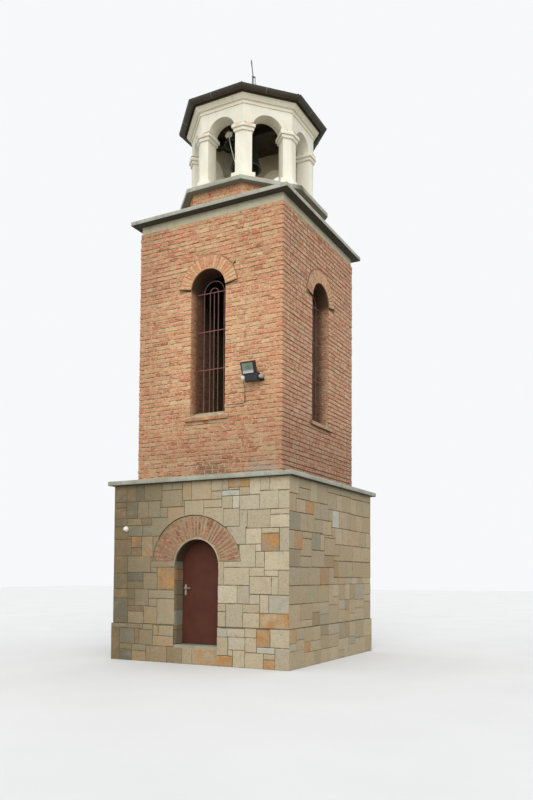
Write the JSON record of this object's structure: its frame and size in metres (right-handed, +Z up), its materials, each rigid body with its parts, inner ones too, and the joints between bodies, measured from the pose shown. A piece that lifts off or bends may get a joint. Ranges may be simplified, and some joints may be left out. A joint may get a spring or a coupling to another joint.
{
  "type": "bell tower",
  "caption": "Square stone and brick bell tower with an arched steel door, grilled windows and an octagonal arcaded belfry with two bells.",
  "frame": {"origin": "centre of the tower's foot at ground level", "axes": "+Z up, the door faces -Y, +X to the right as seen from in front of the door"},
  "size_m": [3.684, 3.684, 11.4611],
  "materials": {
    "sandstone": "rough squared rubble with thin joints",
    "brick": "salmon red bricks with pale mortar",
    "concrete": "weathered cast concrete",
    "render": "smooth grey render",
    "cream_render": "painted smooth render",
    "dark_concrete": "unpainted concrete",
    "door_steel": "matt dark brown paint",
    "bright_steel": "worn",
    "grille_steel": "red brown primer",
    "sheet_metal": "dark brown grey paint",
    "cross_steel": "dull",
    "timber": "weathered",
    "bronze": "dark green patina",
    "iron": "forged",
    "grey_metal": "satin grey",
    "black_plastic": "cable sheath",
    "white_glass": "opal"
  },
  "bodies": {
    "tower": {"stone_wall_front_left": "sandstone", "stone_wall_front_right": "sandstone", "stone_wall_over_door": "sandstone", "stone_wall_right": "sandstone", "stone_wall_back": "sandstone", "stone_wall_left": "sandstone", "ground_floor": "concrete", "door_threshold": "concrete", "door_arch_ring": "brick", "door_frame": "door_steel", "band_slab": "concrete", "brick_wall_front": "brick", "brick_wall_right": "brick", "brick_wall_back": "brick", "brick_wall_left": "brick", "window_grille_front": "grille_steel", "window_grille_right": "grille_steel", "window_grille_back": "grille_steel", "window_grille_left": "grille_steel", "frieze": "render", "cornice_slab": "concrete", "drum": "brick", "belfry_floor": "concrete", "belfry_pier_1": "cream_render", "belfry_pier_2": "cream_render", "belfry_pier_3": "cream_render", "belfry_pier_4": "cream_render", "belfry_pier_5": "cream_render", "belfry_pier_6": "cream_render", "belfry_pier_7": "cream_render", "belfry_pier_8": "cream_render", "belfry_arcade": "cream_render", "belfry_cornice": "cream_render", "belfry_ceiling": "dark_concrete", "roof": "sheet_metal", "gutter": "sheet_metal", "roof_cross": "cross_steel", "great_bell_beam": "timber", "small_bell_beam": "timber", "great_bell": "bronze", "small_bell": "bronze", "floodlight": "grey_metal", "floodlight_cable": "black_plastic", "wall_lamp": "white_glass"},
    "door": {"door_leaf": "door_steel"},
    "handle": {"door_handle": "bright_steel"},
    "clapper_great": {"great_clapper": "iron"},
    "clapper_small": {"small_clapper": "iron"}
  },
  "joints": [
    {"name": "door_hinge", "type": "hinge", "parent": "tower", "child": "door", "pos_m": [0.437, -1.447, 1], "axis": [0, 0, -1], "range_deg": [0, 95]},
    {"name": "handle_turn", "type": "hinge", "parent": "door", "child": "handle", "pos_m": [-0.379, -1.48, 1.258], "axis": [0, 1, 0], "range_deg": [0, 40], "stiffness_Nm_per_rad": 2, "springref_deg": -28.65},
    {"name": "great_clapper_swing", "type": "hinge", "parent": "tower", "child": "clapper_great", "pos_m": [-0.14, 0, 9.739], "axis": [1, 0, 0], "range_deg": [-30, 30]},
    {"name": "small_clapper_swing", "type": "hinge", "parent": "tower", "child": "clapper_small", "pos_m": [-0.09, -0.494, 9.819], "axis": [1, 0, 0], "range_deg": [-25, 25]}
  ]
}
